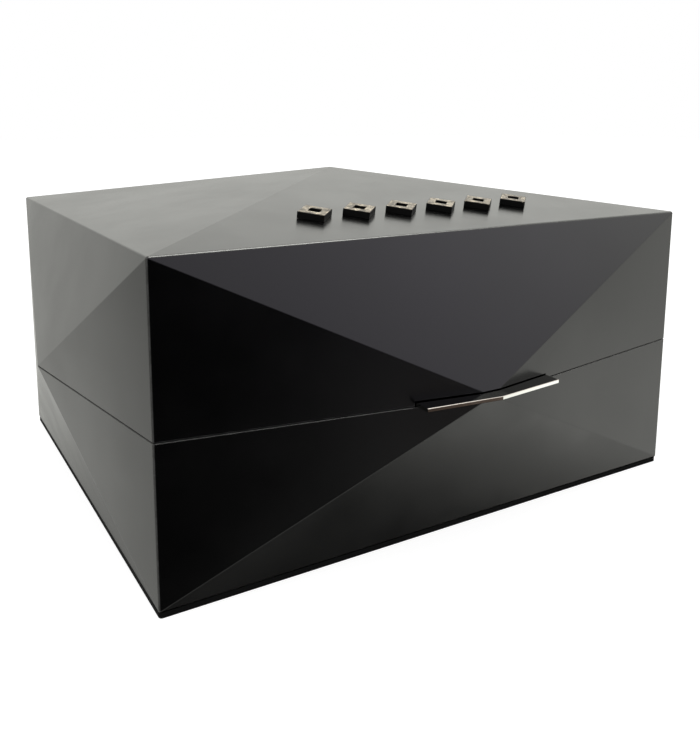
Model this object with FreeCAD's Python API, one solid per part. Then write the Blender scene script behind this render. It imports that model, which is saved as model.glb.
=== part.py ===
import FreeCAD, Part
import math
import os

# Faceted cigar box with a hinged lid, a lift-out tray, a humidifier and a hygrometer.
# Millimetres. Origin: centre of the underside. +X right, +Y back, +Z up; the front faces -Y.

V = FreeCAD.Vector
UP = V(0, 0, 1)

# ---- the case: overall sizes ----
case_width = 300.0            # between the left and right front corners
case_depth = 251.0            # front corner to back face
base_height = 72.0            # underside of the body to the seam
lid_height = 73.5             # seam to the top's rim
front_apex_rise = 24.4        # the front's low pyramid stands out this far at its centre
side_apex_rise = 19.4
top_apex_rise = 22.0
edge_radius = 1.2             # rounding of the body's outer edges
seam_gap = 0.3                # between lid and base when shut
seam_bevel = 0.25
panel_thickness = 12.0        # at the panels' mitred edges

# ---- plinth pad under the body ----
plinth_thickness = 2.5
plinth_inset = 0.3            # behind the body's lower edges, almost flush
plinth_corner_radius = 1.5

# ---- cedar lining ----
lining_thickness = 5.0
lip_height = 5.0              # the base lining stands above the seam by this much
lip_side_gap = 0.3            # the lip's play inside the lid
lip_top_gap = 0.5
lip_chamfer = 0.8

# ---- front lift plate ----
plate_width = 77.0
plate_reach = 7.1             # how far its point stands out beyond the front's apex
plate_sweep = 4.3             # its outer corners lie behind the point by this much
plate_thickness = 1.75
plate_over_base = 0.5         # clear of the base's rim when shut
plate_bevel = 0.2
notch_depth = 5.0             # the shadow gap round the plate, cut into the lid's rim
notch_over_plate = 0.5
notch_side_gap = 0.5
tongue_width = 56.0
tongue_depth = 21.0           # from the front apex back into the lid panel
plate_screw_spacing = 36.0
plate_screw_radius = 1.5
plate_screw_head_radius = 2.9
plate_screw_head_height = 1.6
plate_screw_length = 11.0

# ---- raised ornaments on the top's front facet ----
ornament_count = 6
ornament_pitch = 24.2
ornament_width = 18.4
ornament_depth = 18.4
ornament_height = 3.2
ornament_hole = 8.0           # width and depth of the opening in each lozenge
ornament_bevel = 0.25
ornament_from_front = 33.6    # lozenge centre, from the top's front edge

# ---- butt hinges at the back ----
hinge_spacing = 190.0
hinge_length = 42.0
hinge_knuckles = 5
knuckle_radius = 2.4
knuckle_gap = 0.3
hinge_pin_radius = 1.0
pin_running_clearance = 0.05
pin_fixed_clearance = 0.01
leaf_thickness = 1.2
leaf_depth = 9.0              # how far a leaf reaches in over the rim
hinge_stand_off = 0.4         # barrel to back face
hinge_screws = 3
hinge_screw_radius = 1.1
hinge_screw_head_radius = 2.1
hinge_screw_head_height = 1.0
hinge_screw_length = 8.0
screw_slot_width = 0.5
screw_slot_depth = 0.5

# ---- tray ----
tray_height = 30.0
tray_below_lip = 1.3          # tray top below the lip's top
tray_play = 0.8
tray_wall = 6.0
tray_fingers = 5              # box-joint fingers up each corner
tray_floor_thickness = 4.0
tray_slots = 11
tray_slot_width = 5.0
tray_slot_margin = 22.0
grip_radius = 13.0
grip_depth = 11.0
rest_width = 8.0
rest_height = 8.0
rest_gap = 0.3

# ---- dividers ----
divider_thickness = 4.0
divider_play = 0.4
tray_divider_below_rim = 2.5
base_divider_headroom = 4.0   # under the tray
divider_notch_radius = 16.0
divider_notch_depth = 9.0

# ---- humidifier under the lid ----
humidifier_width = 120.0
humidifier_depth = 50.0
humidifier_height = 14.0
humidifier_wall = 2.0
humidifier_back = 3.5
humidifier_corner = 5.0
grille_thickness = 2.0
grille_slots = 12
grille_slot_width = 3.2
grille_margin = 9.0
foam_play = 0.3
magnet_radius = 6.0
magnet_thickness = 2.0
magnet_spacing = 70.0
keeper_thickness = 1.0
magnet_gap = 0.3

# ---- hygrometer under the lid ----
instrument_gap = 22.0         # between humidifier and hygrometer
gauge_radius = 23.0
gauge_height = 12.0
gauge_wall = 2.5
gauge_back = 4.0
dial_thickness = 1.0
dial_ledge = 1.6
lens_thickness = 1.2
lens_to_dial = 2.0
bezel_thickness = 2.2
bezel_overlap = 1.6
bezel_overhang = 1.4
needle_length = 14.5
needle_tail = 5.0
needle_width = 1.1
needle_thickness = 0.5
needle_hub_radius = 1.7
needle_lift = 0.6             # clear of the dial
needle_rest_turn = 54.0       # degrees from the dial's top, which faces the front, towards +X
spindle_radius = 0.7
spindle_length = 3.6
socket_depth = 2.0            # the spindle's end turns in this much of the post
socket_wall = 1.0
bezel_step = 0.2              # the bezel's rim starts inside the case by this much

# ---- working allowances ----
overshoot = 1.0               # cutting shapes run past the faces they cut by this much
mitre_overshoot = 10.0        # the panels' cells reach beyond the tallest apex
nearly = 0.001                # two places this close count as the same
full_round = 0.01             # a slot's end radius stays this much under half its width

# ---- levels and half sizes that follow ----
half_width = case_width / 2
half_depth = case_depth / 2
body_z = plinth_thickness
seam_z = body_z + base_height
rim_z = seam_z + lid_height
cavity_x = half_width - panel_thickness
cavity_y = half_depth - panel_thickness
cavity_floor = body_z + panel_thickness
cavity_roof = rim_z - panel_thickness
room_x = cavity_x - lining_thickness
room_y = cavity_y - lining_thickness
room_floor = cavity_floor + lining_thickness
room_roof = cavity_roof - lining_thickness
lip_z = seam_z + lip_height
base_rim = seam_z - seam_gap / 2
lid_rim = seam_z + seam_gap / 2
hinge_y = half_depth + hinge_stand_off + knuckle_radius

nodes = {}


def add(name, shape):
    nodes[name] = shape


def box(x0, x1, y0, y1, z0, z1):
    return Part.makeBox(x1 - x0, y1 - y0, z1 - z0, V(x0, y0, z0))


def polyhedron(points, faces):
    made = [Part.Face(Part.makePolygon([points[i] for i in face] + [points[face[0]]])) for face in faces]
    solid = Part.Solid(Part.makeShell(made))
    if solid.Volume < 0:
        solid.reverse()
    return solid


def prism(outline, z0, z1):
    """Straight prism over an outline of (x, y) corners."""
    corners = [V(x, y, z0) for x, y in outline]
    return Part.Face(Part.makePolygon(corners + [corners[0]])).extrude(V(0, 0, z1 - z0))


def cylinder(radius, z0, z1, x=0.0, y=0.0):
    return Part.makeCylinder(radius, z1 - z0, V(x, y, z0))


def rod(radius, length, x, y, z):
    """Cylinder that runs along +X from a point."""
    return Part.makeCylinder(radius, length, V(x, y, z), V(1, 0, 0))


def upright_edges(shape):
    return [e for e in shape.Edges if len(e.Vertexes) == 2
            and abs(e.Vertexes[0].Z - e.Vertexes[1].Z) > nearly
            and abs(e.Vertexes[0].X - e.Vertexes[1].X) + abs(e.Vertexes[0].Y - e.Vertexes[1].Y) < nearly]


def rounded_box(x0, x1, y0, y1, z0, z1, radius):
    block = box(x0, x1, y0, y1, z0, z1)
    return block.makeFillet(radius, upright_edges(block))


def fused(shapes):
    return shapes[0].multiFuse(shapes[1:]).removeSplitter() if len(shapes) > 1 else shapes[0]


def countersunk_screw(radius, length, head_radius, head_height, place, direction):
    """Slotted countersunk screw; the head's face is centred on place, the shank runs along direction."""
    head = Part.makeCone(head_radius, radius, head_height, V(0, 0, 0), UP)
    shank = Part.makeCylinder(radius, length - radius, V(0, 0, 0), UP)
    point = Part.makeCone(radius, radius / 4, radius, V(0, 0, length - radius), UP)
    screw = fused([head, shank, point])
    slot = box(-head_radius, head_radius, -screw_slot_width / 2, screw_slot_width / 2,
               -overshoot, screw_slot_depth)
    screw = screw.cut(slot)
    screw.Placement = FreeCAD.Placement(place, FreeCAD.Rotation(UP, direction))
    return screw


def countersunk_hole(radius, length, head_radius, head_height, place, direction):
    head = Part.makeCone(head_radius, radius, head_height, V(0, 0, 0), UP)
    hole = fused([head, Part.makeCylinder(radius, length, V(0, 0, 0), UP)])
    hole.Placement = FreeCAD.Placement(place, FreeCAD.Rotation(UP, direction))
    return hole


# ================= the faceted body =================

def front_face_y(x):
    """Y of the front's low pyramid at the seam."""
    return -half_depth - front_apex_rise * (1 - abs(x) / half_width)


def faceted_body():
    """Front, both sides and top are low pyramids; the back and the underside are flat."""
    x, y = half_width - edge_radius, half_depth - edge_radius
    low, high = body_z + edge_radius, rim_z - edge_radius
    points = [V(-x, -y, low), V(x, -y, low), V(x, y, low), V(-x, y, low),
              V(-x, -y, high), V(x, -y, high), V(x, y, high), V(-x, y, high),
              V(0, -y - front_apex_rise, seam_z), V(-x - side_apex_rise, 0, seam_z),
              V(x + side_apex_rise, 0, seam_z), V(0, 0, high + top_apex_rise)]
    faces = [(3, 2, 1, 0), (2, 3, 7, 6)]
    for a, b, c, d, apex in ((0, 1, 5, 4, 8), (3, 0, 4, 7, 9), (1, 2, 6, 5, 10), (4, 5, 6, 7, 11)):
        faces += [(a, b, apex), (b, c, apex), (c, d, apex), (d, a, apex)]
    return polyhedron(points, faces).makeOffsetShape(edge_radius, nearly, join=0)


def half_body(body, low, high, rim):
    """The part of the body between two levels, with a small bevel along the seam."""
    reach = case_width + case_depth
    half = body.common(box(-reach, reach, -reach, reach, low, high))
    seam_edges = [e for e in half.Edges if all(abs(v.Z - rim) < nearly for v in e.Vertexes)]
    return half.makeChamfer(seam_bevel, seam_edges)


def mitre_cells():
    """Six cells round the cavity, parted by planes from the cavity's corners through the body's corners."""
    tallest = max(front_apex_rise, side_apex_rise, top_apex_rise)
    spread = 1 + (tallest + mitre_overshoot) / panel_thickness
    inner, outer = [], []
    for sx, sy, level, wall in ((-1, -1, cavity_floor, body_z), (1, -1, cavity_floor, body_z),
                                (1, 1, cavity_floor, body_z), (-1, 1, cavity_floor, body_z),
                                (-1, -1, cavity_roof, rim_z), (1, -1, cavity_roof, rim_z),
                                (1, 1, cavity_roof, rim_z), (-1, 1, cavity_roof, rim_z)):
        start = V(sx * cavity_x, sy * cavity_y, level)
        corner = V(sx * half_width, sy * half_depth, wall)
        inner.append(start)
        outer.append(start + (corner - start) * spread)
    sides = {"bottom": (0, 1, 2, 3), "top": (4, 5, 6, 7), "front": (0, 1, 5, 4),
             "right": (1, 2, 6, 5), "back": (2, 3, 7, 6), "left": (3, 0, 4, 7)}
    faces = [(0, 1, 2, 3), (4, 5, 6, 7), (0, 1, 5, 4), (1, 2, 6, 5), (2, 3, 7, 6), (3, 0, 4, 7)]
    return {side: polyhedron([inner[i] for i in ring] + [outer[i] for i in ring], faces)
            for side, ring in sides.items()}


def case_panels():
    body = faceted_body()
    cells = mitre_cells()
    base = half_body(body, 0, base_rim, base_rim)
    lid = half_body(body, lid_rim, rim_z + 2 * top_apex_rise, lid_rim)
    for side in ("front", "back", "left", "right", "bottom"):
        add("base_" + side + "_panel", base.common(cells[side]))
    for side in ("front", "back", "left", "right", "top"):
        add("lid_" + side + "_panel", lid.common(cells[side]))


def plinth():
    x, y = half_width - plinth_inset, half_depth - plinth_inset
    add("plinth_pad", rounded_box(-x, x, -y, y, 0, body_z, plinth_corner_radius))


# ================= the cedar lining =================

def linings():
    """Base boards stand up as a lip; lid boards start above it. Front and back boards run full width."""
    lip_x, lip_y = cavity_x - lip_side_gap, cavity_y - lip_side_gap
    lip_core = box(-lip_x, lip_x, -lip_y, lip_y, base_rim - overshoot, lip_z + 2 * overshoot)
    lip_relief = box(-case_width, case_width, -case_depth, case_depth, base_rim, lip_z + overshoot)
    lip_relief = lip_relief.cut(lip_core)
    boards = {"front": (-cavity_x, cavity_x, -cavity_y, -room_y),
              "back": (-cavity_x, cavity_x, room_y, cavity_y),
              "left": (-cavity_x, -room_x, -room_y, room_y),
              "right": (room_x, cavity_x, -room_y, room_y)}
    outward = {"front": (V(0, -1, 0), room_y), "back": (V(0, 1, 0), room_y),
               "left": (V(-1, 0, 0), room_x), "right": (V(1, 0, 0), room_x)}
    for side, (x0, x1, y0, y1) in boards.items():
        direction, inner_face = outward[side]
        board = box(x0, x1, y0, y1, cavity_floor, lip_z).cut(lip_relief)
        lip_edge = [e for e in board.Edges
                    if all(v.Z > lip_z - nearly and v.Point.dot(direction) > inner_face + nearly
                           for v in e.Vertexes)]
        add("base_" + side + "_lining", board.makeChamfer(lip_chamfer, lip_edge))
        add("lid_" + side + "_lining", box(x0, x1, y0, y1, lip_z + lip_top_gap, cavity_roof))
    add("base_floor_lining", box(-room_x, room_x, -room_y, room_y, cavity_floor, room_floor))
    add("lid_roof_lining", box(-room_x, room_x, -room_y, room_y, room_roof, cavity_roof))


# ================= the lift plate =================

def chevron(point_y, half, drop):
    """Three corners of an edge that comes to a point in the middle, left to right."""
    return [(-half, point_y + drop), (0, point_y), (half, point_y + drop)]


def ridge_band(inward, half):
    """The front's ridge moved inward, right to left."""
    return chevron(front_face_y(0) + inward, half, front_face_y(half) - front_face_y(0))[::-1]


def lift_plate():
    """Flat plate with a low point, fixed by a tongue; a notch in the lid's rim leaves a gap above it."""
    low = base_rim + plate_over_base
    high = low + plate_thickness
    half = plate_width / 2
    rim_y = front_face_y(0) - plate_reach
    plate = prism(chevron(rim_y, half, plate_sweep) + ridge_band(notch_depth, half), low, high)
    tongue_start = front_face_y(tongue_width / 2)
    tongue_end = front_face_y(0) + tongue_depth
    tongue = box(-tongue_width / 2, tongue_width / 2, tongue_start, tongue_end, low, high)
    notch_half = half + notch_side_gap
    notch = prism(chevron(rim_y, notch_half, 0) + ridge_band(notch_depth, notch_half),
                  lid_rim - overshoot, high + notch_over_plate)
    slot = fused([notch, tongue])
    plate = fused([plate, tongue])
    outer = [e for e in plate.Edges if len(e.Vertexes) == 2
             and all(v.Y < rim_y + plate_sweep + nearly for v in e.Vertexes)
             and abs(e.Vertexes[0].Z - e.Vertexes[1].Z) < nearly]
    plate = plate.makeChamfer(plate_bevel, outer)
    screw_y = (tongue_start + tongue_end) / 2
    shape = (plate_screw_radius, plate_screw_length, plate_screw_head_radius, plate_screw_head_height)
    places = [V(s * plate_screw_spacing / 2, screw_y, low) for s in (-1, 1)]
    panel = nodes["lid_front_panel"].cut(slot)
    for place in places:
        hole = countersunk_hole(*shape, place, UP)
        panel = panel.cut(hole)
        plate = plate.cut(hole)
    nodes["lid_front_panel"] = panel
    add("lift_plate", plate)
    add("lift_plate_screws", Part.makeCompound([countersunk_screw(*shape, place, UP) for place in places]))


# ================= the raised ornaments =================

def ornaments():
    slope = math.degrees(math.atan2(top_apex_rise, half_depth))
    half_x, half_y, hole = ornament_width / 2, ornament_depth / 2, ornament_hole / 2
    for n in range(ornament_count):
        lozenge = prism([(-half_x, 0), (0, -half_y), (half_x, 0), (0, half_y)], 0, ornament_height)
        rim = [e for e in lozenge.Edges if all(abs(v.Z - ornament_height) < nearly for v in e.Vertexes)]
        lozenge = lozenge.makeChamfer(ornament_bevel, rim)
        lozenge = lozenge.cut(prism([(-hole, 0), (0, -hole), (hole, 0), (0, hole)],
                                    -overshoot, ornament_height + overshoot))
        x = (n - (ornament_count - 1) / 2) * ornament_pitch
        y = -half_depth + ornament_from_front
        z = rim_z + top_apex_rise * ornament_from_front / half_depth
        lozenge.Placement = FreeCAD.Placement(V(x, y, z), FreeCAD.Rotation(V(1, 0, 0), slope))
        add("ornament_%d" % (n + 1), lozenge)


# ================= the hinges =================

def hinge(name, centre_x):
    """Butt hinge: leaves let into both rims, barrel behind the back, pin through the knuckles."""
    start = centre_x - hinge_length / 2
    pitch = hinge_length / hinge_knuckles
    barrel_room = hinge_y - knuckle_radius - knuckle_gap
    leaf_y = half_depth - leaf_depth
    screw_y = half_depth - leaf_depth / 2
    levels = {"base": (base_rim - leaf_thickness, base_rim), "lid": (lid_rim, lid_rim + leaf_thickness)}
    screws = {}
    for half, (low, high) in levels.items():
        pieces = [box(start, start + hinge_length, leaf_y, barrel_room, low, high)]
        for k in range(hinge_knuckles):
            if (k % 2 == 0) != (half == "base"):
                continue
            x0 = start + k * pitch + (knuckle_gap / 2 if k else 0)
            x1 = start + (k + 1) * pitch - (knuckle_gap / 2 if k < hinge_knuckles - 1 else 0)
            pieces.append(box(x0, x1, barrel_room, hinge_y, low, high))
            pieces.append(rod(knuckle_radius, x1 - x0, x0, hinge_y, seam_z))
        clearance = pin_fixed_clearance if half == "base" else pin_running_clearance
        bore = rod(hinge_pin_radius + clearance, hinge_length + 2 * overshoot, start - overshoot, hinge_y,
                   seam_z)
        leaf = fused(pieces).cut(bore)
        face = high if half == "base" else low
        into = V(0, 0, -1) if half == "base" else UP
        shape = (hinge_screw_radius, hinge_screw_length, hinge_screw_head_radius, hinge_screw_head_height)
        recess = box(start, start + hinge_length, leaf_y, half_depth + overshoot, low, high)
        panel = nodes[half + "_back_panel"].cut(recess)
        screws[half] = []
        for s in range(hinge_screws):
            place = V(start + (s + 0.5) * hinge_length / hinge_screws, screw_y, face)
            hole = countersunk_hole(*shape, place, into)
            panel = panel.cut(hole)
            leaf = leaf.cut(hole)
            screws[half].append(countersunk_screw(*shape, place, into))
        nodes[half + "_back_panel"] = panel
        add(name + "_hinge_" + half + "_leaf", leaf)
    add(name + "_hinge_pin", rod(hinge_pin_radius, hinge_length, start, hinge_y, seam_z))
    return screws


def hinges():
    left = hinge("left", -hinge_spacing / 2)
    right = hinge("right", hinge_spacing / 2)
    for half in ("base", "lid"):
        add("hinge_screws_" + half, Part.makeCompound(left[half] + right[half]))


# ================= tray and dividers =================

tray_top = lip_z - tray_below_lip
tray_bottom = tray_top - tray_height
tray_x = room_x - tray_play
tray_y = room_y - tray_play


def tray():
    """Box-jointed walls: front and back hold the even fingers of each corner, the ends the odd ones."""
    inner_x, inner_y = tray_x - tray_wall, tray_y - tray_wall
    step = tray_height / tray_fingers
    grip = rod(grip_radius, case_width * 2, -case_width, 0, tray_top + grip_radius - grip_depth)
    walls = {"front": box(-tray_x, tray_x, -tray_y, -inner_y, tray_bottom, tray_top),
             "back": box(-tray_x, tray_x, inner_y, tray_y, tray_bottom, tray_top),
             "left": box(-tray_x, -inner_x, -inner_y, inner_y, tray_bottom, tray_top).cut(grip),
             "right": box(inner_x, tray_x, -inner_y, inner_y, tray_bottom, tray_top).cut(grip)}
    for end, x0, x1 in (("left", -tray_x, -inner_x), ("right", inner_x, tray_x)):
        for long_side, y0, y1 in (("front", -tray_y, -inner_y), ("back", inner_y, tray_y)):
            for n in range(1, tray_fingers, 2):
                finger = box(x0, x1, y0, y1, tray_bottom + n * step, tray_bottom + (n + 1) * step)
                walls[end] = fused([walls[end], finger])
                walls[long_side] = walls[long_side].cut(finger)
    for side, wall in walls.items():
        add("tray_" + side, wall)
    floor = box(-inner_x, inner_x, -inner_y, inner_y, tray_bottom, tray_bottom + tray_floor_thickness)
    pitch = 2 * (inner_x - tray_slot_margin) / (tray_slots - 1)
    for n in range(tray_slots):
        x = -inner_x + tray_slot_margin + n * pitch
        floor = floor.cut(rounded_box(x - tray_slot_width / 2, x + tray_slot_width / 2,
                                      -inner_y + tray_slot_margin, inner_y - tray_slot_margin,
                                      tray_bottom - overshoot,
                                      tray_bottom + tray_floor_thickness + overshoot,
                                      tray_slot_width / 2 - full_round))
    add("tray_floor", floor)
    rest_top = tray_bottom - rest_gap
    for side, x0, x1 in (("left", -room_x, -room_x + rest_width), ("right", room_x - rest_width, room_x)):
        add("tray_rest_" + side, box(x0, x1, -room_y, room_y, rest_top - rest_height, rest_top))


def divider_board(half_y, low, high):
    board = box(-divider_thickness / 2, divider_thickness / 2, -half_y, half_y, low, high)
    notch_z = high + divider_notch_radius - divider_notch_depth
    return board.cut(rod(divider_notch_radius, 4 * divider_thickness, -2 * divider_thickness, 0, notch_z))


def dividers():
    add("tray_divider", divider_board(tray_y - tray_wall - divider_play,
                                      tray_bottom + tray_floor_thickness + rest_gap,
                                      tray_top - tray_divider_below_rim))
    add("base_divider", divider_board(room_y - divider_play, room_floor + rest_gap,
                                      tray_bottom - base_divider_headroom))


# ================= humidifier and hygrometer =================

instruments_width = humidifier_width + instrument_gap + 2 * gauge_radius
humidifier_x = instruments_width / 2 - humidifier_width / 2
gauge_x = -instruments_width / 2 + gauge_radius


def keeper_recess(x):
    """Steel keeper disc let flush into the roof lining."""
    disc = cylinder(magnet_radius, room_roof, room_roof + keeper_thickness, x)
    nodes["lid_roof_lining"] = nodes["lid_roof_lining"].cut(disc)
    return disc


def humidifier():
    high = room_roof - magnet_gap
    low = high - humidifier_height
    x0, x1 = humidifier_x - humidifier_width / 2, humidifier_x + humidifier_width / 2
    y = humidifier_depth / 2
    case = rounded_box(x0, x1, -y, y, low, high, humidifier_corner)
    inner = (x0 + humidifier_wall, x1 - humidifier_wall, -y + humidifier_wall, y - humidifier_wall)
    inner_corner = humidifier_corner - humidifier_wall
    case = case.cut(rounded_box(*inner, low - overshoot, high - humidifier_back, inner_corner))
    foam = rounded_box(inner[0] + foam_play, inner[1] - foam_play, inner[2] + foam_play,
                       inner[3] - foam_play, low, high - humidifier_back, inner_corner)
    grille = rounded_box(x0, x1, -y, y, low - grille_thickness, low, humidifier_corner)
    pitch = (humidifier_width - 2 * grille_margin - grille_slot_width) / (grille_slots - 1)
    for n in range(grille_slots):
        x = x0 + grille_margin + n * pitch
        grille = grille.cut(rounded_box(x, x + grille_slot_width, -y + grille_margin, y - grille_margin,
                                        low - grille_thickness - overshoot, low + overshoot,
                                        grille_slot_width / 2 - full_round))
    magnets, keepers = [], []
    for x in (humidifier_x - magnet_spacing / 2, humidifier_x + magnet_spacing / 2):
        magnet = cylinder(magnet_radius, high - magnet_thickness, high, x)
        case = case.cut(magnet)
        magnets.append(magnet)
        keepers.append(keeper_recess(x))
    keepers.append(keeper_recess(gauge_x))
    add("humidifier_case", case)
    add("humidifier_foam", foam)
    add("humidifier_grille", grille)
    add("humidifier_magnets", Part.makeCompound(magnets))
    add("lid_keeper_discs", Part.makeCompound(keepers))


def hygrometer():
    high = room_roof - magnet_gap
    low = high - gauge_height
    bore = gauge_radius - gauge_wall
    dial_low = low + lens_thickness + lens_to_dial
    dial_high = dial_low + dial_thickness
    case = cylinder(gauge_radius, low, high, gauge_x)
    case = case.cut(cylinder(bore, low - overshoot, dial_high, gauge_x))
    case = case.cut(cylinder(bore - dial_ledge, dial_high, high - gauge_back, gauge_x))
    magnet = cylinder(magnet_radius, high - magnet_thickness, high, gauge_x)
    spindle_top = dial_low - needle_lift + spindle_length
    spindle_bore = spindle_radius + pin_running_clearance
    post = cylinder(spindle_bore + socket_wall, spindle_top - socket_depth, high - gauge_back, gauge_x)
    socket = cylinder(spindle_bore, spindle_top - socket_depth, spindle_top + needle_lift, gauge_x)
    case = fused([case.cut(magnet), post]).cut(socket)
    add("hygrometer_case", case)
    add("hygrometer_magnet", magnet)
    dial = cylinder(bore, dial_low, dial_high, gauge_x)
    add("hygrometer_dial", dial.cut(cylinder(spindle_bore, dial_low - overshoot, dial_high + overshoot,
                                             gauge_x)))
    add("hygrometer_lens", cylinder(bore, low, low + lens_thickness, gauge_x))
    bezel = Part.makeCone(gauge_radius - bezel_step, gauge_radius + bezel_overhang, bezel_thickness,
                          V(gauge_x, 0, low - bezel_thickness), UP)
    window = cylinder(bore - bezel_overlap, low - bezel_thickness - overshoot, low + overshoot, gauge_x)
    add("hygrometer_bezel", bezel.cut(window))
    needle_high = dial_low - needle_lift
    needle_low = needle_high - needle_thickness
    blade = prism([(gauge_x - needle_width / 2, 0), (gauge_x - needle_width / 2, needle_tail),
                   (gauge_x + needle_width / 2, needle_tail), (gauge_x + needle_width / 2, 0),
                   (gauge_x, -needle_length)], needle_low, needle_high)
    hub = cylinder(needle_hub_radius, needle_low, needle_high, gauge_x)
    spindle = cylinder(spindle_radius, needle_high, spindle_top, gauge_x)
    needle = fused([blade, hub, spindle])
    needle.rotate(V(gauge_x, 0, 0), UP, needle_rest_turn)
    add("hygrometer_needle", needle)


case_panels()
plinth()
linings()
lift_plate()
ornaments()
hinges()
tray()
dividers()
humidifier()
hygrometer()

os.makedirs("parts", exist_ok=True)
for name, shape in nodes.items():
    shape.exportStep("parts/" + name + ".step")
print(len(nodes), "nodes")
for name, shape in nodes.items():
    if not shape.isValid() or not shape.Solids:
        print("check", name, shape.isValid(), len(shape.Solids))
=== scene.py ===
# %% [markdown]
# # A faceted cigar box in black lacquer
# The case, its hinges, tray and instruments come from the engineering model as fixed meshes, all in one
# frame: metres, origin under the middle of the box, +X right, +Y back, +Z up. This notebook adds what that
# model leaves out: the lacquer, the cedar, the metals, the dial's print and the studio.

# %% Load the frame and measure it
import math

import bpy
from mathutils import Matrix, Vector


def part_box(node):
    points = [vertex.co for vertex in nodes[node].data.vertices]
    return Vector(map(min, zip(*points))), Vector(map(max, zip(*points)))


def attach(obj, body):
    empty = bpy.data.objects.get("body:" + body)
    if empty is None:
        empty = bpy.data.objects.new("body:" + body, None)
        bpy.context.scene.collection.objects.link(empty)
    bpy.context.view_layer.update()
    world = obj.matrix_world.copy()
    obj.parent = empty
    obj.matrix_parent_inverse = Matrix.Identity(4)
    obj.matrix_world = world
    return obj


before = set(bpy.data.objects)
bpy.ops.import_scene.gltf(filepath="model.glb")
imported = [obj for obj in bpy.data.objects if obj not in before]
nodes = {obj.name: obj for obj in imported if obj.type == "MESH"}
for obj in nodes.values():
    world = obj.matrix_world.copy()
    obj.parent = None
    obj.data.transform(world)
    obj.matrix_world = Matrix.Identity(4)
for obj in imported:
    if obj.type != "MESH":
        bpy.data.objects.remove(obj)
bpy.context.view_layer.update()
MM = 0.001


# %% [markdown]
# ## Levels that the finishes need
# Finishes and printed marks sit on real faces, so their places are read from the pieces' own boxes. Nothing
# is typed in twice: when the box is made wider, the dial's figures and the grain move with it.

# %% Read the levels from the pieces
def middle(node):
    low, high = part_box(node)
    return (low + high) / 2


base_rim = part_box("base_front_panel")[1].z
lid_low, lid_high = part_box("lid_front_panel")
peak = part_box("lid_top_panel")[1].z
seam_z = (base_rim + lid_low.z) / 2
case_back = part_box("base_back_panel")[1].y
dial_middle = middle("hygrometer_dial")
dial_low, dial_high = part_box("hygrometer_dial")
dial_radius = (dial_high.x - dial_low.x) / 2
print("seam at", round(seam_z, 4), "m; dial radius", round(dial_radius, 4), "m")


# %% [markdown]
# ## Small tools for writing shader trees
# A shader tree is a graph, and building one in code soon gets long. `Tree` keeps it short: `node` adds a
# node and sets its sockets, and a socket set to another node's output is linked instead of given a value.

# %% Shader tree helper
class Tree:
    def __init__(self, tree):
        self.tree = tree

    def node(self, kind, sockets=None, **properties):
        made = self.tree.nodes.new(kind)
        for name, value in properties.items():
            setattr(made, name, value)
        for name, value in (sockets or {}).items():
            if isinstance(value, bpy.types.NodeSocket):
                self.tree.links.new(value, made.inputs[name])
            else:
                made.inputs[name].default_value = value
        return made

    def math(self, operation, a, b=0.0, clamp=False):
        return self.node("ShaderNodeMath", {0: a, 1: b}, operation=operation, use_clamp=clamp).outputs[0]

    def dot(self, a, b):
        return self.node("ShaderNodeVectorMath", {0: a, 1: b}, operation="DOT_PRODUCT").outputs["Value"]

    def stretch(self, vector, scale):
        return self.node("ShaderNodeVectorMath", {0: vector, 1: scale}, operation="MULTIPLY").outputs[0]

    def ramp(self, value, low, high, to_low=0.0, to_high=1.0, smooth=True):
        """Value moved from low..high to to_low..to_high, clamped."""
        kind = "SMOOTHSTEP" if smooth else "LINEAR"
        made = self.node("ShaderNodeMapRange", {"Value": value, "From Min": low, "From Max": high,
                                                "To Min": to_low, "To Max": to_high}, interpolation_type=kind)
        return made.outputs["Result"]

    def mix(self, factor, a, b):
        made = self.node("ShaderNodeMix", data_type="RGBA")
        for index, value in ((0, factor), (6, a), (7, b)):
            if isinstance(value, bpy.types.NodeSocket):
                self.tree.links.new(value, made.inputs[index])
            else:
                made.inputs[index].default_value = value
        return made.outputs[2]

    def place(self, scale=(1, 1, 1), turn=(0, 0, 0), shift=(0, 0, 0)):
        """Object coordinates, stretched and turned."""
        where = self.node("ShaderNodeTexCoord").outputs["Object"]
        return self.node("ShaderNodeMapping", {"Vector": where, "Scale": scale, "Rotation": turn,
                                               "Location": shift}).outputs["Vector"]

    def noise(self, vector, scale, detail=2.0, roughness=0.5):
        made = self.node("ShaderNodeTexNoise", {"Vector": vector, "Scale": scale, "Detail": detail,
                                                "Roughness": roughness})
        return made.outputs["Fac"]


def rgb(red, green, blue):
    """Screen colour in 0..255 to the linear colour that shaders take."""
    def linear(c):
        c /= 255
        return c / 12.92 if c <= 0.04045 else ((c + 0.055) / 1.055) ** 2.4
    return (linear(red), linear(green), linear(blue), 1.0)


print("shader tree helper ready")


# %% [markdown]
# ## Effects that several finishes share
# Edge wear, fine surface texture, dust and wood grain each turn up in more than one finish, so each is a
# node group with named inputs. On the lacquer the edge wear mask also carries a painted highlight. A group
# only hands out masks, values and colours. The shader stays in the material, where every finish sets its
# own roughness and colour.

# %% Group helper and the edge wear and highlight group
def new_group(name, inputs, outputs):
    """A shader node group; inputs are (name, default), outputs are (name, socket type)."""
    group = bpy.data.node_groups.new(name, "ShaderNodeTree")
    for label, value in inputs:
        socket = group.interface.new_socket(label, in_out="INPUT", socket_type="NodeSocketFloat")
        socket.default_value = value
    for label, kind in outputs:
        group.interface.new_socket(label, in_out="OUTPUT", socket_type=kind)
    tree = Tree(group)
    return group, tree, tree.node("NodeGroupInput").outputs, tree.node("NodeGroupOutput").inputs


flat_match, edge_match = 0.995, 0.90    # how nearly the rounded and the true normal agree


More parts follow.
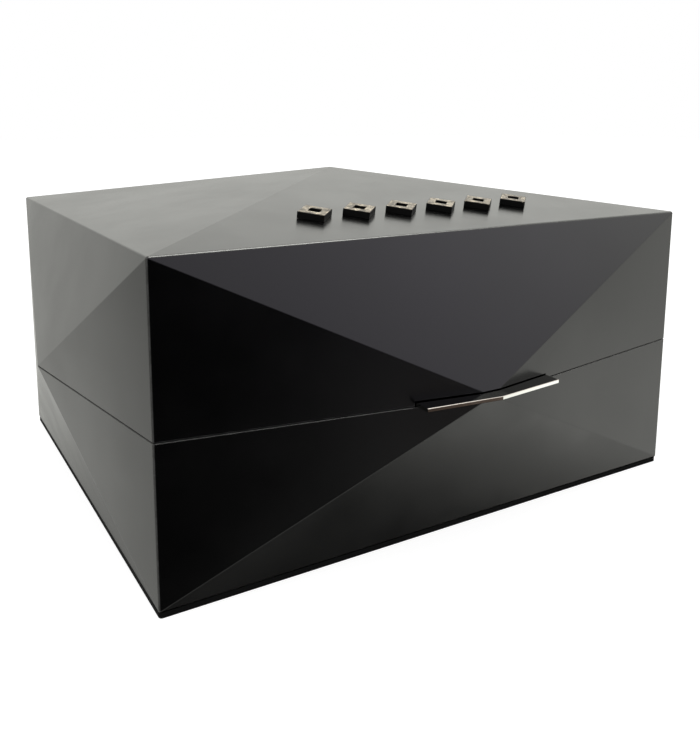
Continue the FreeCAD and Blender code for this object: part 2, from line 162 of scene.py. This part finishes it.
def build_edge_wear_and_highlight():
    """1 along sharp edges, broken up by noise, 0 on the faces. A bevelled normal leaves the true one there."""
    group, tree, given, out = new_group("edge_wear_and_highlight", [("Width", 0.0008), ("Amount", 1.0), ("Patch Size", 90.0)],
                                        [("Mask", "NodeSocketFloat")])
    rounded = tree.node("ShaderNodeBevel", {"Radius": given["Width"]}, samples=6).outputs["Normal"]
    true_normal = tree.node("ShaderNodeNewGeometry").outputs["Normal"]
    edge = tree.ramp(tree.dot(rounded, true_normal), flat_match, edge_match)
    patches = tree.noise(tree.place(), given["Patch Size"], 4.0, 0.65)
    broken = tree.ramp(patches, 0.40, 0.62)
    tree.tree.links.new(tree.math("MULTIPLY", tree.math("MULTIPLY", edge, broken), given["Amount"], True),
                        out["Mask"])
    return group


edge_wear_and_highlight = build_edge_wear_and_highlight()
print("group", edge_wear_and_highlight.name)


# %% The fine texture, dust and grain groups
def build_fine_texture():
    """Height of a sprayed or moulded skin: a fine pebble on top of a slow swell."""
    group, tree, given, out = new_group("fine_texture", [("Pebble Size", 2600.0), ("Swell Size", 60.0),
                                                         ("Swell Share", 0.3)], [("Height", "NodeSocketFloat")])
    pebble = tree.noise(tree.place(), given["Pebble Size"], 3.0, 0.6)
    swell = tree.noise(tree.place(), given["Swell Size"], 1.0, 0.4)
    share = tree.math("MULTIPLY", swell, given["Swell Share"])
    tree.tree.links.new(tree.math("ADD", pebble, share), out["Height"])
    return group


def build_dust():
    """Sparse specks: the few cells of a fine Voronoi pattern whose own random value is high."""
    group, tree, given, out = new_group("dust_specks", [("Grain Size", 420.0), ("Share", 0.02),
                                                        ("Speck", 0.16)], [("Mask", "NodeSocketFloat")])
    cells = tree.node("ShaderNodeTexVoronoi", {"Vector": tree.place(), "Scale": given["Grain Size"]})
    speck = tree.math("LESS_THAN", cells.outputs["Distance"], given["Speck"])
    chance = tree.node("ShaderNodeSeparateColor", {"Color": cells.outputs["Color"]}).outputs["Red"]
    rare = tree.math("GREATER_THAN", chance, tree.math("SUBTRACT", 1.0, given["Share"]))
    tree.tree.links.new(tree.math("MULTIPLY", speck, rare), out["Mask"])
    return group


# Along the grain, rings, fibres and pores are drawn out; a small factor makes them long.
ring_stretch, fibre_stretch, pore_stretch = 0.10, 0.05, 0.07


def build_wood_grain():
    """Flat-sawn boards. X runs along the grain; Rings gives the dark lines, Pores the short open ones."""
    group, tree, given, out = new_group("wood_grain", [("Ring Size", 55.0), ("Warp", 0.9)], [])
    socket = group.interface.new_socket("Along Grain", in_out="INPUT", socket_type="NodeSocketVector")
    for label in ("Rings", "Pores", "Tone"):
        group.interface.new_socket(label, in_out="OUTPUT", socket_type="NodeSocketFloat")
    source = [n for n in group.nodes if n.type == "GROUP_INPUT"][0].outputs["Along Grain"]
    sink = [n for n in group.nodes if n.type == "GROUP_OUTPUT"][0].inputs
    stretched = tree.stretch(source, (ring_stretch, 1.0, 1.0))
    warp = tree.noise(stretched, 16.0, 2.0, 0.5)
    level = tree.math("MULTIPLY", warp, given["Warp"])
    split = tree.node("ShaderNodeSeparateXYZ", {"Vector": stretched}).outputs
    depth = tree.math("ADD", split["Y"], tree.math("MULTIPLY", split["Z"], 0.8))
    rings = tree.math("FRACT", tree.math("ADD", tree.math("MULTIPLY", depth, given["Ring Size"]),
                                         tree.math("MULTIPLY", level, 4.0)))
    late = tree.math("POWER", rings, 2.2)
    fine = tree.noise(tree.stretch(source, (fibre_stretch, 1.0, 1.0)), 900.0, 2.0, 0.6)
    pores = tree.node("ShaderNodeTexVoronoi", {"Vector": tree.stretch(source, (pore_stretch, 1.0, 1.0)),
                                               "Scale": 1500.0}).outputs["Distance"]
    tree.tree.links.new(late, sink["Rings"])
    tree.tree.links.new(tree.ramp(pores, 0.26, 0.10), sink["Pores"])
    tree.tree.links.new(fine, sink["Tone"])
    return group


fine_texture = build_fine_texture()
dust_specks = build_dust()
wood_grain = build_wood_grain()
print("groups", fine_texture.name, dust_specks.name, wood_grain.name)


# %% [markdown]
# ## Material helper
# Every finish starts from one Principled shader. Values that are the same all over are set on its own
# sockets; only what changes over the surface is linked in.

# %% Start a material
def start_material(name, color=(0.5, 0.5, 0.5, 1), roughness=0.5, metallic=0.0, **constants):
    material = bpy.data.materials.new(name)
    material.use_nodes = True
    tree = Tree(material.node_tree)
    shader = material.node_tree.nodes["Principled BSDF"]
    shader.inputs["Base Color"].default_value = color
    shader.inputs["Roughness"].default_value = roughness
    shader.inputs["Metallic"].default_value = metallic
    for label, value in constants.items():
        shader.inputs[label.replace("_", " ")].default_value = value
    material.diffuse_color = color
    return material, tree, shader


def use_group(tree, group, **values):
    made = tree.node("ShaderNodeGroup", node_tree=group)
    for label, value in values.items():
        label = label.replace("_", " ")
        if isinstance(value, bpy.types.NodeSocket):
            tree.tree.links.new(value, made.inputs[label])
        else:
            made.inputs[label].default_value = value
    return made.outputs


def bump(tree, shader, height, strength, distance):
    made = tree.node("ShaderNodeBump", {"Height": height, "Strength": strength, "Distance": distance})
    tree.tree.links.new(made.outputs["Normal"], shader.inputs["Normal"])


def link(tree, value, shader, label):
    tree.tree.links.new(value, shader.inputs[label])


print("material helper ready")


# %% [markdown]
# ## Satin black lacquer
# Fibreboard sprayed black and rubbed to a satin sheen. Nearly all that is seen of it is reflection, so the
# colour is almost pure black and the roughness does the work. A very fine pebble breaks the reflection,
# the edges are paler, partly rubbed a little thinner and partly a painted highlight, and a few dust specks
# lie on it.

# %% Black lacquer
lacquer_black = (0.0004, 0.0004, 0.0005, 1)
rubbed_edge_and_highlight = (0.030, 0.030, 0.031, 1)
dust_grey = (0.016, 0.016, 0.015, 1)
rim_width = 0.6 * MM         # the rims at the seam are left duller than the faces


def make_black_lacquer():
    material, tree, shader = start_material("satin_black_lacquer", lacquer_black, 0.24, IOR=1.5)
    wear_and_highlight = use_group(tree, edge_wear_and_highlight, Width=0.7 * MM, Amount=0.8, Patch_Size=160.0)["Mask"]
    specks = use_group(tree, dust_specks, Grain_Size=260.0, Share=0.006, Speck=0.10)["Mask"]
    # Paler along the edges: partly rubbed wear, partly a painted highlight where the rounded edges catch light.
    worn_and_highlit = tree.mix(wear_and_highlight, lacquer_black, rubbed_edge_and_highlight)
    link(tree, tree.mix(specks, worn_and_highlit, dust_grey), shader, "Base Color")
    handling = tree.noise(tree.place(), 22.0, 3.0, 0.55)
    height = tree.node("ShaderNodeSeparateXYZ", {0: tree.place()}).outputs["Z"]
    from_seam = tree.math("ABSOLUTE", tree.math("SUBTRACT", height, seam_z))
    rim_dullness = tree.ramp(from_seam, rim_width / 2, rim_width, 0.30, 0.0)
    link(tree, tree.math("ADD", tree.ramp(handling, 0.25, 0.75, 0.20, 0.27), rim_dullness), shader, "Roughness")
    skin = use_group(tree, fine_texture, Pebble_Size=1500.0, Swell_Size=70.0, Swell_Share=0.4)["Height"]
    bump(tree, shader, skin, 0.10, 0.12 * MM)
    return material


black_lacquer = make_black_lacquer()
print("material", black_lacquer.name)


# %% [markdown]
# ## Spanish cedar
# The lining and the tray are bare cedar: a warm, pinkish brown with soft rings, short open pores and no
# varnish. The grain runs along each board, so there is one material for each board direction.

# %% Cedar
def make_cedar(name, turn, shift, tint):
    material, tree, shader = start_material(name, roughness=0.62, IOR=1.45)
    along = tree.place(turn=turn, shift=shift)
    grain = use_group(tree, wood_grain, Along_Grain=along, Ring_Size=70.0, Warp=1.3)
    pale, dark = rgb(*tint), rgb(tint[0] * 0.74, tint[1] * 0.60, tint[2] * 0.50)
    body = tree.mix(tree.ramp(grain["Rings"], 0.0, 1.0, 0.0, 0.75), pale, dark)
    flecked = tree.mix(tree.ramp(grain["Tone"], 0.35, 0.72, 0.0, 0.42), body, rgb(126, 70, 38))
    pored = tree.mix(tree.math("MULTIPLY", grain["Pores"], 0.55), flecked, rgb(78, 42, 24))
    link(tree, pored, shader, "Base Color")
    link(tree, tree.ramp(grain["Tone"], 0.2, 0.8, 0.52, 0.70), shader, "Roughness")
    height = tree.math("SUBTRACT", tree.math("MULTIPLY", grain["Tone"], 0.5), grain["Pores"])
    bump(tree, shader, height, 0.35, 0.25 * MM)
    return material


quarter = math.pi / 2
cedar_along_x = make_cedar("cedar_along_width", (0, 0, 0), (0.013, 0.007, 0.003), (203, 140, 98))
cedar_along_y = make_cedar("cedar_along_depth", (0, 0, -quarter), (0.031, 0.011, 0.017), (198, 134, 92))
tray_along_x = make_cedar("tray_cedar_along_width", (0, 0, 0), (0.057, 0.029, 0.041), (214, 154, 110))
tray_along_y = make_cedar("tray_cedar_along_depth", (0, 0, -quarter), (0.083, 0.021, 0.061), (209, 148, 104))
print("four cedar materials")


# %% [markdown]
# ## Metals
# The lift plate is chrome, bright along its front rim, with painted shade darkening its flats and ends and a
# darker, warmer painted reflection on its bevels. The hinges are nickel, a little warmer and duller. The
# screws, magnets and keeper discs are plain plated steel.

# %% Chrome, nickel and steel
def make_metal(name, color, rough_low, rough_high, scratch):
    material, tree, shader = start_material(name, color, rough_low, 1.0)
    streaks = tree.noise(tree.place(scale=(0.15, 1, 1)), 900.0, 3.0, 0.6)
    haze = tree.noise(tree.place(), 60.0, 3.0, 0.6)
    blend = tree.math("ADD", tree.math("MULTIPLY", streaks, 0.4), tree.math("MULTIPLY", haze, 0.6))
    link(tree, tree.ramp(blend, 0.35, 0.65, rough_low, rough_high), shader, "Roughness")
    bump(tree, shader, streaks, scratch, 0.05 * MM)
    return material


polished_rim = (0.78, 0.78, 0.75, 1)
painted_warm_bevel = (0.46, 0.42, 0.40, 1)
painted_shade_face = (0.10, 0.10, 0.10, 1)


def make_plate_chrome():
    """Chrome, bright on the front rim; painted shade on flats and ends, painted warm reflection on bevels."""
    material, tree, shader = start_material("lift_plate_chrome", (0.80, 0.80, 0.81, 1), 0.08, 1.0)
    normal = tree.node("ShaderNodeNewGeometry").outputs["Normal"]
    facing = tree.node("ShaderNodeSeparateXYZ", {0: normal}).outputs
    upright = tree.math("ABSOLUTE", facing["Z"])
    bevel = tree.ramp(upright, 0.3, 0.6)
    flat = tree.math("MAXIMUM", tree.ramp(upright, 0.80, 0.95),
                     tree.ramp(tree.math("ABSOLUTE", facing["X"]), 0.5, 0.8))
    # The colour follows which way each face points: painted shade on the flats and ends, a darker, warmer
    # painted reflection on the bevels.
    link(tree, tree.mix(flat, tree.mix(bevel, polished_rim, painted_warm_bevel), painted_shade_face), shader, "Base Color")
    haze = tree.noise(tree.place(), 60.0, 3.0, 0.6)
    link(tree, tree.ramp(haze, 0.35, 0.65, 0.05, 0.11), shader, "Roughness")
    bump(tree, shader, tree.noise(tree.place(scale=(0.15, 1, 1)), 900.0, 3.0, 0.6), 0.04, 0.05 * MM)
    return material


plate_chrome = make_plate_chrome()
hinge_nickel = make_metal("hinge_nickel", (0.66, 0.63, 0.57, 1), 0.20, 0.34, 0.12)
screw_steel = make_metal("plated_steel", (0.60, 0.60, 0.61, 1), 0.24, 0.40, 0.15)
bezel_metal = make_metal("bezel_chrome", (0.80, 0.80, 0.81, 1), 0.08, 0.18, 0.05)
print("four metals")


# %% [markdown]
# ## The raised ornaments
# Each lozenge is a dark moulding with a thin champagne plating on its top face, worn and grainy. One
# material does both: it measures how far a point lies above the sloping facet that carries the lozenge.

# %% Champagne tops on dark sides
def top_facet_slope():
    """How steeply the top's front facet rises from the rim to the peak."""
    return math.atan2(peak - lid_high.z, case_back)


plating = 0.06 * MM
moulding_black = (0.002, 0.002, 0.0022, 1)


def make_ornament_metal():
    slope = top_facet_slope()
    up = Vector((0, -math.sin(slope), math.cos(slope)))
    top_level = max(vertex.co.dot(up) for vertex in nodes["ornament_1"].data.vertices)
    material, tree, shader = start_material("champagne_on_black", roughness=0.3, Specular_IOR_Level=0.12)
    where = tree.node("ShaderNodeTexCoord").outputs["Object"]
    plated = tree.math("GREATER_THAN", tree.dot(where, tuple(up)), top_level - plating)
    grit = tree.noise(tree.place(), 900.0, 4.0, 0.7)
    patches = tree.noise(tree.place(), 260.0, 4.0, 0.65)
    rubbed = tree.ramp(tree.math("ADD", tree.math("MULTIPLY", grit, 0.5), tree.math("MULTIPLY", patches, 0.5)),
                       0.45, 0.56)
    champagne = tree.mix(tree.ramp(grit, 0.35, 0.65), rgb(92, 82, 68), rgb(210, 198, 178))
    worn_and_highlit = tree.mix(tree.math("MULTIPLY", rubbed, 0.85), champagne, rgb(50, 43, 38))
    link(tree, tree.mix(plated, moulding_black, worn_and_highlit), shader, "Base Color")
    link(tree, tree.math("MULTIPLY", plated, tree.ramp(rubbed, 0.0, 1.0, 1.0, 0.35)), shader, "Metallic")
    link(tree, tree.ramp(grit, 0.3, 0.7, 0.26, 0.52), shader, "Roughness")
    bump(tree, shader, grit, 0.8, 0.14 * MM)
    return material


ornament_metal = make_ornament_metal()
print("material", ornament_metal.name)


# %% [markdown]
# ## Felt, plastic and foam
# The plinth pad is dense black felt, the humidifier a matt moulding with a fine spark texture, and its foam
# an open-cell block.

# %% Felt, plastic, foam, lens and paint
def make_felt():
    material, tree, shader = start_material("plinth_felt", roughness=0.95, Specular_IOR_Level=0.1)
    fibres = tree.noise(tree.place(scale=(1, 1, 0.4)), 1400.0, 4.0, 0.7)
    link(tree, tree.mix(fibres, (0.0006, 0.0006, 0.0006, 1), (0.003, 0.003, 0.003, 1)), shader, "Base Color")
    bump(tree, shader, fibres, 0.6, 0.3 * MM)
    return material


def make_black_plastic():
    material, tree, shader = start_material("matt_black_moulding", (0.016, 0.016, 0.017, 1), 0.5, IOR=1.5)
    skin = use_group(tree, fine_texture, Pebble_Size=1800.0, Swell_Size=40.0, Swell_Share=0.2)["Height"]
    wear_and_highlight = use_group(tree, edge_wear_and_highlight, Width=0.4 * MM, Amount=0.6, Patch_Size=300.0)["Mask"]
    link(tree, tree.mix(wear_and_highlight, (0.015, 0.015, 0.016, 1), (0.05, 0.05, 0.05, 1)), shader, "Base Color")
    link(tree, tree.ramp(skin, 0.4, 0.9, 0.42, 0.58), shader, "Roughness")
    bump(tree, shader, skin, 0.5, 0.2 * MM)
    return material


def make_foam():
    material, tree, shader = start_material("humidifier_foam", roughness=0.9)
    cells = tree.node("ShaderNodeTexVoronoi", {"Vector": tree.place(), "Scale": 900.0}).outputs["Distance"]
    shaded_holes = tree.ramp(cells, 0.25, 0.6)
    # The holes are coloured darker green: painted shade inside the open cells.
    link(tree, tree.mix(shaded_holes, rgb(28, 56, 34), rgb(84, 128, 84)), shader, "Base Color")
    bump(tree, shader, shaded_holes, 0.9, 0.6 * MM)
    return material


def make_lens():
    material, tree, shader = start_material("lens_glass", (0.97, 0.99, 0.98, 1), 0.02, IOR=1.46,
                                            Transmission_Weight=1.0)
    smears = tree.noise(tree.place(), 120.0, 3.0, 0.6)
    link(tree, tree.ramp(smears, 0.45, 0.75, 0.01, 0.05), shader, "Roughness")
    return material


def make_paint(name, color, rough):
    material, tree, shader = start_material(name, color, rough)
    skin = tree.noise(tree.place(), 1500.0, 2.0, 0.5)
    dark = tuple(c * 0.9 for c in color[:3]) + (1,)
    link(tree, tree.mix(skin, color, dark), shader, "Base Color")
    link(tree, tree.ramp(skin, 0.3, 0.7, rough - 0.05, rough + 0.05), shader, "Roughness")
    return material


plinth_felt = make_felt()
black_plastic = make_black_plastic()
foam = make_foam()
lens_glass = make_lens()
dial_paper = make_paint("dial_card", rgb(240, 236, 224), 0.55)
print_ink = make_paint("dial_ink", rgb(24, 24, 26), 0.5)
needle_paint = make_paint("needle_paint", rgb(20, 20, 22), 0.35)
print("felt, plastic, foam, lens, card, ink and needle paint")


# %% [markdown]
# ## Give every carried-over piece its finish
# The engineering pieces keep their meshes. Only their material slots change.

# %% Assign the materials
def finish_of(name):
    if name.endswith("_panel"):
        return black_lacquer
    if name in ("base_left_lining", "base_right_lining", "lid_left_lining", "lid_right_lining"):
        return cedar_along_y
    if name.endswith("_lining"):
        return cedar_along_x
    if name in ("tray_left", "tray_right", "tray_divider", "base_divider", "tray_rest_left", "tray_rest_right"):
        return tray_along_y
    if name.startswith("tray_"):
        return tray_along_x
    if name.startswith("ornament_"):
        return ornament_metal
    if name.startswith("hinge_screws") or name in (
            "lift_plate_screws", "lid_keeper_discs", "humidifier_magnets", "hygrometer_magnet"):
        return screw_steel
    if "_hinge_" in name:
        return hinge_nickel
    special = {"plinth_pad": plinth_felt, "lift_plate": plate_chrome, "humidifier_case": black_plastic,
               "humidifier_grille": black_plastic, "humidifier_foam": foam, "hygrometer_case": black_plastic,
               "hygrometer_bezel": bezel_metal, "hygrometer_dial": dial_paper, "hygrometer_lens": lens_glass,
               "hygrometer_needle": needle_paint}
    return special[name]


for name, piece in nodes.items():
    material = finish_of(name)
    if not piece.data.materials:
        piece.data.materials.append(material)
    for index in range(len(piece.data.materials)):
        piece.data.materials[index] = material
print(len(nodes), "pieces finished")


# %% [markdown]
# ## The dial's print
# A hygrometer reads 0 to 100 percent over most of a turn. Its scale is a ring of ticks, long at every ten,
# which is just the kind of thing that repeats: a Geometry Nodes tree sets one bar on each point of a ring.
# The figures are text turned into meshes. The dial faces down in the shut lid, with its top to the front.

# %% Geometry Nodes helper
def geometry_tree(name, inputs):
    """A Geometry Nodes tree with named inputs (name, socket type, default) and one geometry output."""
    group = bpy.data.node_groups.new(name, "GeometryNodeTree")
    group.interface.new_socket("Geometry", in_out="OUTPUT", socket_type="NodeSocketGeometry")
    for label, kind, value in inputs:
        socket = group.interface.new_socket(label, in_out="INPUT", socket_type=kind)
        if value is not None:
            socket.default_value = value
    tree = Tree(group)
    return group, tree, tree.node("NodeGroupInput").outputs, tree.node("NodeGroupOutput").inputs["Geometry"]


def grow(name, group, values, material):
    """Runs a tree once and keeps the plain mesh it makes."""
    seed = bpy.data.objects.new(name + "_seed", bpy.data.meshes.new(name + "_seed"))
    bpy.context.scene.collection.objects.link(seed)
    modifier = seed.modifiers.new("grow", "NODES")
    modifier.node_group = group
    sockets = {s.name: s.identifier for s in group.interface.items_tree if s.in_out == "INPUT"}
    for label, value in values.items():
        modifier[sockets[label]] = value
    bpy.context.view_layer.update()
    mesh = bpy.data.meshes.new_from_object(seed.evaluated_get(bpy.context.evaluated_depsgraph_get()))
    bpy.data.objects.remove(seed)
    mesh.name = name
    mesh.materials.clear()
    mesh.materials.append(material)
    grown = bpy.data.objects.new(name, mesh)
    bpy.context.scene.collection.objects.link(grown)
    return grown


print("geometry helper ready")


# %% Ticks round the dial
dial_sweep = math.radians(270)
dial_face = dial_low.z
ink_thickness = 0.06 * MM


def build_tick_ring():
    """Bars on an arc: evenly spaced points, each carrying a box that looks at the centre."""
    group, tree, given, out = geometry_tree("tick_ring", [
        ("Count", "NodeSocketInt", 11), ("Radius", "NodeSocketFloat", 0.01),
        ("Length", "NodeSocketFloat", 0.002), ("Width", "NodeSocketFloat", 0.0003),
        ("Height", "NodeSocketFloat", 0.0001), ("Sweep", "NodeSocketFloat", 4.7),
        ("Centre", "NodeSocketVector", None), ("Ink", "NodeSocketMaterial", None)])
    steps = tree.math("SUBTRACT", given["Count"], 1.0)
    line = tree.node("GeometryNodeMeshLine", {"Count": given["Count"]}, mode="OFFSET")
    line.inputs["Offset"].default_value = (0, 0, 0)
    index = tree.node("GeometryNodeInputIndex").outputs[0]
    share = tree.math("DIVIDE", index, steps)
    angle = tree.math("MULTIPLY", tree.math("SUBTRACT", share, 0.5), given["Sweep"])
    x = tree.math("MULTIPLY", tree.math("SINE", angle), given["Radius"])
    y = tree.math("MULTIPLY", tree.math("MULTIPLY", tree.math("COSINE", angle), given["Radius"]), -1.0)
    place = tree.node("ShaderNodeCombineXYZ", {"X": x, "Y": y}).outputs[0]
    moved = tree.node("GeometryNodeSetPosition", {"Geometry": line.outputs["Mesh"], "Position": place})
    size = tree.node("ShaderNodeCombineXYZ", {"X": given["Width"], "Y": given["Length"], "Z": given["Height"]})
    bar = tree.node("GeometryNodeMeshCube", {"Size": size.outputs[0]}).outputs["Mesh"]
    turn = tree.node("ShaderNodeCombineXYZ", {"Z": angle}).outputs[0]
    bars = tree.node("GeometryNodeInstanceOnPoints", {"Points": moved.outputs[0], "Instance": bar,
                                                      "Rotation": turn})
    real = tree.node("GeometryNodeRealizeInstances", {"Geometry": bars.outputs[0]})
    centred = tree.node("GeometryNodeTransform", {"Geometry": real.outputs[0], "Translation": given["Centre"]})
    inked = tree.node("GeometryNodeSetMaterial", {"Geometry": centred.outputs[0], "Material": given["Ink"]})
    tree.tree.links.new(inked.outputs[0], out)
    return group


tick_ring = build_tick_ring()
print_centre = (dial_middle.x, dial_middle.y, dial_face - ink_thickness / 2)
scale_radius = 0.80 * dial_radius       # the ticks' outer ends
for name, count, length, width in (("dial_ticks_fine", 51, 0.9 * MM, 0.16 * MM),
                                   ("dial_ticks_tens", 11, 1.9 * MM, 0.38 * MM)):
    ticks = grow(name, tick_ring, {"Count": count, "Radius": scale_radius - length / 2, "Length": length,
                                   "Width": width, "Height": ink_thickness, "Sweep": dial_sweep,
                                   "Centre": print_centre, "Ink": print_ink}, print_ink)
    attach(ticks, "hygrometer")
    print(name, count, "ticks")


# %% Figures on the dial
def plain_mesh(source, name, matrix, material):
    """A text or curve object turned into a mesh that lies where it should, with its object at the origin."""
    bpy.context.scene.collection.objects.link(source)
    bpy.context.view_layer.update()
    mesh = bpy.data.meshes.new_from_object(source.evaluated_get(bpy.context.evaluated_depsgraph_get()))
    bpy.data.objects.remove(source)
    mesh.transform(matrix)
    mesh.materials.clear()
    mesh.materials.append(material)
    made = bpy.data.objects.new(name, mesh)
    bpy.context.scene.collection.objects.link(made)
    return made


def dial_figure(text, name, x, y, size):
    """Figures read from below, with their tops to the front of the box."""
    words = bpy.data.curves.new(name, "FONT")
    words.body = text
    words.size = size
    words.align_x = "CENTER"
    words.align_y = "CENTER"
    words.extrude = ink_thickness / 2
    words.resolution_u = 2
    source = bpy.data.objects.new(name + "_text", words)
    face_down = Matrix.Rotation(math.pi, 4, "X")
    place = Matrix.Translation((dial_middle.x + x, dial_middle.y + y, dial_face - ink_thickness / 2))
    made = plain_mesh(source, name, place @ face_down, print_ink)
    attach(made, "hygrometer")
    return made


figure_radius = scale_radius - 4.4 * MM
figure_size, percent_size = 2.7 * MM, 3.0 * MM
for step in range(0, 11, 2):
    angle = (step / 10 - 0.5) * dial_sweep
    dial_figure(str(step * 10), "dial_figure_%d" % (step * 10), math.sin(angle) * figure_radius,
                -math.cos(angle) * figure_radius, figure_size)
dial_figure("%", "dial_percent", 0, 0.45 * dial_radius, percent_size)
print("figures 0 to 100 in twenties")


# %% [markdown]
# ## The studio
# Black lacquer is lit by what it reflects. Pale surroundings give the sloping facets their greys, and one
# dark flag in front turns the facets that face it black. Real screens and lamps could stand round the box,
# but they would be in the way of its other views, so they are painted in the world's shader: a sky that
# brightens upwards, a ground that is nearly black steeply below, and a round patch for each screen or lamp.
# Only reflections see them; all other light is plain white. The floor is a plain pale sheet that glows a
# little, and reflections see the painted ground in its place.

# %% Pale floor
floor_half_size = 6.0
floor_gap = 0.02 * MM        # keeps the pad's underside and the floor from flickering into each other
floor_grey = (0.45, 0.45, 0.45, 1)
floor_glow = 0.8


def make_floor():
    mesh = bpy.data.meshes.new("floor")
    edge = floor_half_size
    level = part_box("plinth_pad")[0].z - floor_gap
    mesh.from_pydata([(-edge, -edge, level), (edge, -edge, level), (edge, edge, level), (-edge, edge, level)],
                     [], [(0, 1, 2, 3)])
    floor = bpy.data.objects.new("floor", mesh)
    bpy.context.scene.collection.objects.link(floor)
    material, tree, shader = start_material("pale_floor", floor_grey, 0.9, Specular_IOR_Level=0.0)
    shader.inputs["Emission Color"].default_value = (1, 1, 1, 1)
    shader.inputs["Emission Strength"].default_value = floor_glow
    mesh.materials.append(material)
    floor.visible_glossy = False
    return floor


floor = make_floor()
print("floor at", round(floor.data.vertices[0].co.z, 5))


# %% Surroundings
def direction(azimuth, elevation):
    """Azimuth 0 is +Y, 90 is +X, in degrees."""
    a, e = math.radians(azimuth), math.radians(elevation)
    return (math.sin(a) * math.cos(e), math.cos(a) * math.cos(e), math.sin(e))


def patch(tree, way, azimuth, elevation, inner, outer, to_inner, to_outer=1.0):
    """Brightness that changes smoothly from one value inside a cone to another outside it, in degrees."""
    across = tree.dot(way, direction(azimuth, elevation))
    return tree.ramp(across, math.cos(math.radians(outer)), math.cos(math.radians(inner)), to_outer, to_inner)


# Each screen or lamp: azimuth, elevation, full within, gone beyond (all in degrees), and how much brighter
# or darker it makes its part of the room.
screens = {
    "flag in front": (189, -18, 12, 46, 0.0),
    "top of the flag": (186, 22, 22, 52, 0.55),
    "key wall": (128, -2, 14, 44, 1.22),
    "key floor": (119, -45, 4, 11, 2.2),
    "gap beside the flag": (166, -22, 3, 8.5, 3.0),
    "bright wall": (117, -19, 3, 9, 1.4),
    "far shade": (6, -37, 6, 20, 0.32),
    "left shade": (-44, -16, 5, 14, 0.6),
    "left glow": (-27, -20, 3, 11, 1.4),
    "lamp overhead": (106, 66, 8, 19, 11.0),
    "curtain": (154, -20, 4.5, 8.5, 0.14),
}
# The sky brightens between two elevations, and the ground goes dark along a slanted axis.
sky_elevations, sky_brightness = (9, 27), (0.84, 1.66)
ground_axis, ground_range, ground_brightness = (-0.4, -0.2, 1.0), (-0.924, -0.894), (0.002, 1.0)
white, plain_tint = (1, 1, 1, 1), (0.995, 1.0, 0.945, 1)
cool_tint, cool_patch = (1.0, 0.965, 1.07, 1), (164, 12, 18, 44)
reddish_tint = (1.0, 0.72, 0.58, 1)


def make_surroundings():
    """A pale room with a lamp overhead, a bright side on the right and a dark flag in front on the left."""
    world = bpy.data.worlds.new("studio")
    world.use_nodes = True
    bpy.context.scene.world = world
    tree = Tree(world.node_tree)
    background = world.node_tree.nodes["Background"]
    way = tree.node("ShaderNodeTexCoord").outputs["Generated"]
    height = tree.node("ShaderNodeSeparateXYZ", {"Vector": way}).outputs["Z"]
    sky_low, sky_high = (math.sin(math.radians(elevation)) for elevation in sky_elevations)
    sky = tree.ramp(height, sky_low, sky_high, *sky_brightness, smooth=False)
    ground = tree.ramp(tree.dot(way, ground_axis), *ground_range, *ground_brightness)
    glow = tree.math("MULTIPLY", sky, ground)
    for screen in screens.values():
        glow = tree.math("MULTIPLY", glow, patch(tree, way, *screen))
    seen_glossy = tree.node("ShaderNodeLightPath").outputs["Is Glossy Ray"]
    strength = tree.node("ShaderNodeMix", {0: seen_glossy, 2: 1.0, 3: glow}, data_type="FLOAT").outputs[0]
    tree.tree.links.new(strength, background.inputs["Strength"])
    neutral = tree.mix(patch(tree, way, *cool_patch, 1.0, 0.0), plain_tint, cool_tint)
    tint = tree.mix(patch(tree, way, *screens["curtain"][:4], 1.0, 0.0), neutral, reddish_tint)
    tree.tree.links.new(tree.mix(seen_glossy, white, tint), background.inputs["Color"])


make_surroundings()
print(len(screens), "screens and lamps")


# %% [markdown]
# ## The camera
# It stands in front of the box's left corner, a little above the lid. It looks only slightly down, and its
# lens is shifted down instead, as on a view camera, which keeps the upright edges nearly parallel.

# %% Camera
camera_place = (-0.2379, -0.4172, 0.2002)
camera_look = Vector((0.5093, 0.8445, -0.1656))
camera_roll = math.radians(0.305)
lens_length, sensor_size = 38.50, 36.0      # millimetres, along the picture's longer side
lens_shift = (0.0012, -0.1683)


def make_camera():
    """Stands in front of the left corner, above the box, and looks slightly down."""
    camera_data = bpy.data.cameras.new("camera")
    camera = bpy.data.objects.new("camera", camera_data)
    bpy.context.scene.collection.objects.link(camera)
    look = camera_look.normalized()
    right = look.cross(Vector((0, 0, 1))).normalized()
    right = (Matrix.Rotation(-camera_roll, 3, look) @ right).normalized()
    up = right.cross(look)
    turn = Matrix((right, up, -look)).transposed().to_4x4()
    camera.matrix_world = Matrix.Translation(camera_place) @ turn
    camera_data.lens = lens_length
    camera_data.sensor_width = sensor_size
    camera_data.shift_x, camera_data.shift_y = lens_shift
    camera_data.clip_start = 0.01
    bpy.context.scene.camera = camera


make_camera()
bpy.context.scene.view_settings.view_transform = "Standard"
print("camera ready")
